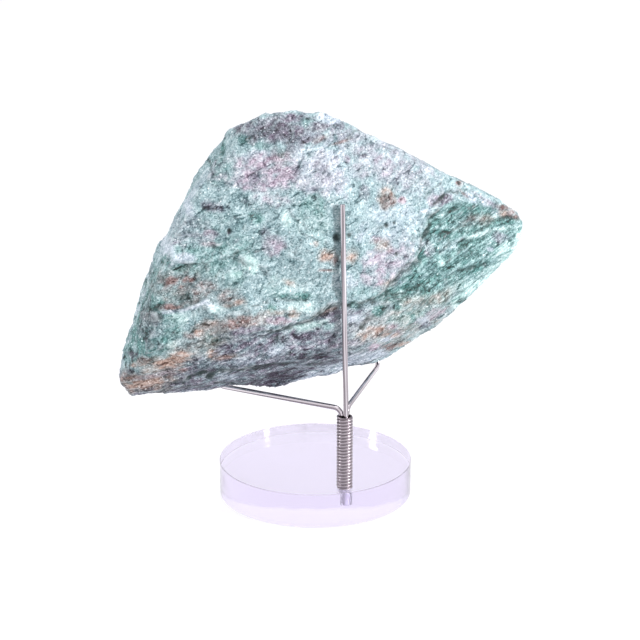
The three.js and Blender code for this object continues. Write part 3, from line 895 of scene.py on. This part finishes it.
paint = {
    "hides": 0.85,  # how much of what lies under it a mineral hides
    "rearFade": (-0.1, 0.15),
    "seamFade": 2.0,
    "scarFade": 1.0,
    "lowerEnds": (34, 8),  # mm across, where the lower face's own colour fades out to the right
    "lowerBanded": 0.7,  # how plainly the fine layers show on it
    "bandGap": 1.9,  # mm between the colours of the layers
    "farGap": 3.0,
    # mineral, share all over, share in the layers, and where in their pattern that begins and is full
    "scarBands": [
        ("green", 0.8, 0, (0.0, 1.0)),
        ("deep", 0.15, 0.6, (0.0, 0.7)),
        ("fresh", 0, 0.6, (-0.3, -0.9)),
    ],
    "lowerBands": [
        ("plum", 0.6, 0.25, (0.0, 0.7)),
        ("ink", 0, 0.6, (0.4, 0.95)),
        ("pale", 0, 0.4, (-0.45, -0.95)),
    ],
    "farBands": [("plum", 0, 0.6, (0.35, 0.9)), ("deep", 0, 0.5, (-0.4, -0.9))],
    # mineral, size in mm, seed and strength of the clouds on the sides that aren't seen
    "clouds": [
        ("green", 30, 82, 0.8),
        ("mauve", 24, 81, 0.7),
        ("pale", 19, 83, 0.7),
        ("rust", 17, 84, 0.45),
    ],
    "cloudStretch": (0.7, 1.6, 1.0),
    "cloudRim": (0.05, 0.5),
    # reach, size in mm, seed and detail of a wander: of patch edges, the lower face's edge, and the gaps
    "ragged": [(0.5, 6, 61, 3), (0.3, 2.4, 64, 1)],
    "drift": [(2.2, 8, 62, 3)],
    "opening": [(1.0, 3.2, 63, 2)],
    "openRim": (-0.45, 0.5),
    "rim": (1.3, 0.5),  # where a patch begins and where it is full, in half sizes
    "stainRim": (1.8, 0.25),
    "lineRim": (1.3, 0.3),
    "lineFade": (-0.4, 0.0),
    "hollow": (0.08, 0.36),  # mm below the middle of the neighbours that painted shade begins and is full
    "hollowDark": 0.6,
    "proud": (0.08, 0.34),
    # half width and darkness of the painted shade in a gap where it is closed and what opening adds to them,
    # its rim, and its lean
    "ledgeGap": {"half": (0.4, 1.0), "dark": (0.45, 0.55), "rim": (1.2, 0.3), "lean": 0.3},
    "crackGap": {"half": (0.4, 0.8), "dark": (0.55, 0.45), "rim": (1.3, 0.2), "lean": 0.0},
    # where the painted shade in a pit begins and is full, in its radii
    "pitRim": (1.4, 0.5),
}


def paintMinerals(mesh):
    points, normals = readVerts(mesh)
    across, up = points @ faceAcross, points @ faceUp
    rear = smoothStep(*paint["rearFade"], normals @ faceOut)
    masks = {name: np.zeros(len(points)) for name in mineralNames}

    def lay(mineral, weight):
        # a mineral laid later hides what lies under it
        for name in mineralNames:
            masks[name] *= 1 - paint["hides"] * weight
        masks[mineral] = np.maximum(masks[mineral], weight)

    def layBands(rows, where, bands):
        for mineral, share, more, fade in rows:
            lay(mineral, where * (share + more * smoothStep(*fade, bands)))

    def wander(rows):
        return sum(reach * noiseAt(points, *row) for reach, *row in rows)

    ragged, drift = wander(paint["ragged"]), wander(paint["drift"])
    opened = smoothStep(*paint["openRim"], wander(paint["opening"]))
    seam, rim = paint["seamFade"], paint["scarFade"]
    lower = rear * smoothStep(-seam, seam, insideBy(across, up, lowerFace) + drift)
    lower *= smoothStep(*paint["lowerEnds"], across)
    scar = rear * smoothStep(-rim, rim, insideBy(across, up, rightScar)) * (1 - lower)
    layBands(paint["scarBands"], scar, layerRibs(points, stone["scarTurn"], paint["bandGap"], seed=72))
    layBands(paint["lowerBands"], lower, layerRibs(points, stone["lowerTurn"], paint["bandGap"], seed=71))
    far = 1 - rear
    for mineral, size, seed, strength in paint["clouds"]:
        cloud = noiseAt(points * paint["cloudStretch"], size, seed, detail=3)
        lay(mineral, far * strength * smoothStep(*paint["cloudRim"], cloud))
    farBands = layerRibs(points[:, frontToBack], stone["farTurn"], paint["farGap"], seed=85)
    layBands(paint["farBands"], far, farBands)
    for mineral, px, pz, wide, high, degrees, strength in patches:
        u, v = turned(across - px, up - pz, degrees)
        fade = paint["stainRim"] if mineral in stains else paint["rim"]
        lay(mineral, strength * rear * smoothStep(*fade, np.hypot(u / wide, v / high) + ragged))
    # lines of one mineral; the pale ones on the rims and the ledge are partly painted highlight
    for mineral, line, half, strength in mineralAndHighlightLines:
        near, _ = lineDistance(across, up, line)
        edge = smoothStep(*paint["lineFade"], normals @ faceOut)
        lay(mineral, strength * edge * smoothStep(*paint["lineRim"], near / half + ragged))
    # painted shade: darker in hollows, in the gaps along ledges and cracks, and in pits, where shade falls
    hollow = hollowness(mesh, points, normals)
    shade = smoothStep(*paint["hollow"], hollow) * paint["hollowDark"]
    wanderAcross, wanderUp = frayed(points)
    gaps = [(line, 1, darkness, paint["ledgeGap"]) for line, _, _, darkness in ledges]
    gaps += [(line, width, darkness, paint["crackGap"]) for line, width, _, darkness in cracks]
    for line, width, darkness, gap in gaps:
        # every gap opens and closes along its line, and painted shade darkens it
        near, side = lineDistance(wanderAcross, wanderUp, line)
        half, dark = [closed + more * opened for closed, more in (gap["half"], gap["dark"])]
        inGap = smoothStep(*gap["rim"], near / width / half + gap["lean"] * side)
        shade = np.maximum(shade, rear * darkness * dark * inGap)
    for (px, pz), radius in pits:
        pit = smoothStep(*paint["pitRim"], np.hypot(across - px, up - pz) / radius)
        shade = np.maximum(shade, rear * pit)
    masks["banded"] = np.maximum(scar, paint["lowerBanded"] * lower)
    masks["creviceShade"] = shade
    # paler where a vertex stands proud of its neighbours
    masks["towardPale"] = smoothStep(*paint["proud"], -hollow)
    for name, values in masks.items():
        field = mesh.attributes.new(name, "FLOAT", "POINT")
        field.data.foreach_set("value", np.clip(values, 0, 1).astype(np.float32))


rock = {
    "flake": 0.48,  # mm across a mica flake
    # mm across, detail and roughness of the clumps of one mineral, the mottles, and the layers seen edge-on
    "clump": (2.6, 2.5, 0.55),
    "mottle": (3.6, 6.0, 0.85),
    "streak": (1.0, 3.0, 0.6),
    "layerTurn": (20, (1.7, 1, 1)),  # degrees that the layers rise to the right, and their stretch
    "streakTurn": (25, (6, 3, 1)),
    "fissure": 6.5,  # mm between the fine dark splits
    "fissureBend": 4,  # mm
    "fissureDark": 1.4,
    "mint": "#758c90",
    "minerals": {
        "pale": "#9ca7b1",
        "fresh": "#abc4c2",
        "mauve": "#918693",
        "green": "#5a7f7d",
        "deep": "#396361",
        "rust": "#8a7469",
        "brown": "#604d4b",
        "plum": "#625d6b",
        "ink": "#332d3b",
    },
    # share of the flakes and how dark they are: a few painted glints, a few dark gaps, the rest grain
    "speckle": [(0.0, 0.14), (0.012, 0.3), (0.025, 0.82), (0.1, 0.62), (0.5, 0.5), (0.9, 0.4), (1.0, 0.34)],
    # what the low and high values of a pattern become
    "clumpRange": {"From Min": 0.3, "From Max": 0.7, "To Min": 0.45, "To Max": 1.8},
    "mottleRange": {"From Min": 0.3, "From Max": 0.7, "To Min": 3.0, "To Max": 0.8},
    "streakRange": {"From Min": 0.36, "From Max": 0.62, "To Min": 0.55, "To Max": -0.22},
    "splitRange": {"From Max": 0.07, "To Min": 1.0, "To Max": 0.0},
    "openRange": {"From Min": 0.51, "From Max": 0.66},
    "glossRange": {"To Min": 0.48, "To Max": 0.75},
    "creviceShade": ("#122422", 0.93),  # painted shade in hollows and gaps: its colour and how far it covers
    # paler where the surface stands proud of its neighbours: colour and how far it covers
    "towardPale": ("#b9c3c6", 0.4),
    "flakeTilt": 0.3,
    "gritHeight": 0.12,  # mm
    "gritStrength": 0.5,
    "ior": 1.4,
}


def micaSchist():
    # Fuchsite schist, split along its layers: a mass of small green and lilac mica flakes, each
    # turned its own way, so that some catch the light white while their neighbours stay dark; a few also
    # carry painted glints in their colour
    material, add, shader = newMaterial("fuchsite mica schist")
    place = add("TexCoord", {}).outputs["Object"]
    painted = [*rock["minerals"], "banded", "creviceShade", "towardPale"]
    masks = {name: add("Attribute", {}, attribute_name=name).outputs["Fac"] for name in painted}
    layered, edgeOn = [
        add(
            "Mapping",
            {"Vector": place, "Rotation": (0, -math.radians(degrees), 0), "Scale": stretch},
            vector_type="TEXTURE",
        )
        for degrees, stretch in (rock["layerTurn"], rock["streakTurn"])
    ]
    flakes = add("TexVoronoi", {"Vector": place, "Scale": 1 / (rock["flake"] * mm)})
    chance = add("SeparateColor", {"Color": flakes.outputs["Color"]})
    clumps, mottles, streaks = [
        add("TexNoise", {"Vector": space, "Scale": 1 / (size * mm), "Detail": detail, "Roughness": rough})
        for space, (size, detail, rough) in (
            (layered, rock["clump"]),
            (layered, rock["mottle"]),
            (edgeOn, rock["streak"]),
        )
    ]
    kinds = add("SeparateColor", {"Color": clumps.outputs["Color"]})
    patchy = [add("MapRange", {"Value": kind, **rock["clumpRange"]}) for kind in kinds.outputs]
    colour = linear(rock["mint"])
    for i, (mineral, tint) in enumerate(rock["minerals"].items()):
        amount = add("Math", {0: masks[mineral], 1: patchy[i % 3]}, operation="MULTIPLY", use_clamp=True)
        colour = add("Mix", {0: amount, 6: colour, 7: linear(tint)}, data_type="RGBA").outputs[2]
    tone = add("MapRange", {"Value": mottles, **rock["mottleRange"]}, clamp=False)
    # the flake tones hold painted glints as well as grain
    speckle = add("ValToRGB", {"Fac": chance})
    stops = speckle.color_ramp.elements
    while len(stops) < len(rock["speckle"]):
        stops.new(1.0)
    for stop, (position, level) in zip(stops, rock["speckle"]):
        stop.position = position
        stop.color = (level, level, level, 1)
    grained = add("Math", {0: tone, 1: speckle}, operation="MULTIPLY")
    darker = add("MapRange", {"Value": streaks, **rock["streakRange"]})
    layers = add("Math", {0: masks["banded"], 1: darker, 2: 1.0}, operation="MULTIPLY_ADD")
    even = add("Math", {0: grained, 1: layers}, operation="MULTIPLY")
    bend = (rock["fissureBend"] * mm,) * 3
    bent = add("VectorMath", {0: clumps.outputs["Color"], 1: bend, 2: layered}, operation="MULTIPLY_ADD")
    blockScale = 1 / (rock["fissure"] * mm)
    blocks = add("TexVoronoi", {"Vector": bent, "Scale": blockScale}, feature="DISTANCE_TO_EDGE")
    split = add("MapRange", {"Value": blocks, **rock["splitRange"]})
    opened = add("MapRange", {"Value": kinds.outputs[1], **rock["openRange"]})
    fissures = add("Math", {0: split, 1: opened}, operation="MULTIPLY")
    depth = add("Math", {0: fissures, 1: rock["fissureDark"], 2: even}, operation="MULTIPLY_ADD")
    finished = add("Gamma", {"Color": colour, "Gamma": depth})
    # the painted shade in hollows and gaps is mixed in here, then the paler tone on proud places
    for name in ("creviceShade", "towardPale"):
        tint, share = rock[name]
        cover = add("Math", {0: masks[name], 1: share}, operation="MULTIPLY")
        finished = add("Mix", {0: cover, 6: finished, 7: linear(tint)}, data_type="RGBA").outputs[2]
    tilt = add("VectorMath", {0: flakes.outputs["Color"], 1: (0.5, 0.5, 0.5)}, operation="SUBTRACT")
    turnedFlake = add("VectorMath", {0: tilt, "Scale": rock["flakeTilt"]}, operation="SCALE")
    grit = add(
        "Bump",
        {"Height": depth, "Strength": rock["gritStrength"], "Distance": rock["gritHeight"] * mm},
        invert=True,
    )
    facing = add("VectorMath", {0: grit, 1: turnedFlake}, operation="ADD")
    unit = add("VectorMath", {0: facing}, operation="NORMALIZE")
    gloss = add("MapRange", {"Value": chance.outputs[2], **rock["glossRange"]})
    setSockets(shader, {"Base Color": finished, "Roughness": gloss, "Normal": unit, "IOR": rock["ior"]})
    return material


stoneMesh = remeshed("fuchsite_stone")
print("stone remeshed:", len(stoneMesh.vertices), "vertices")
breakSurface(stoneMesh)
print("stone broken up")
paintMinerals(stoneMesh)
print("minerals laid")
placePiece("fuchsiteBlock", stoneMesh, micaSchist(), "fuchsite_stone")
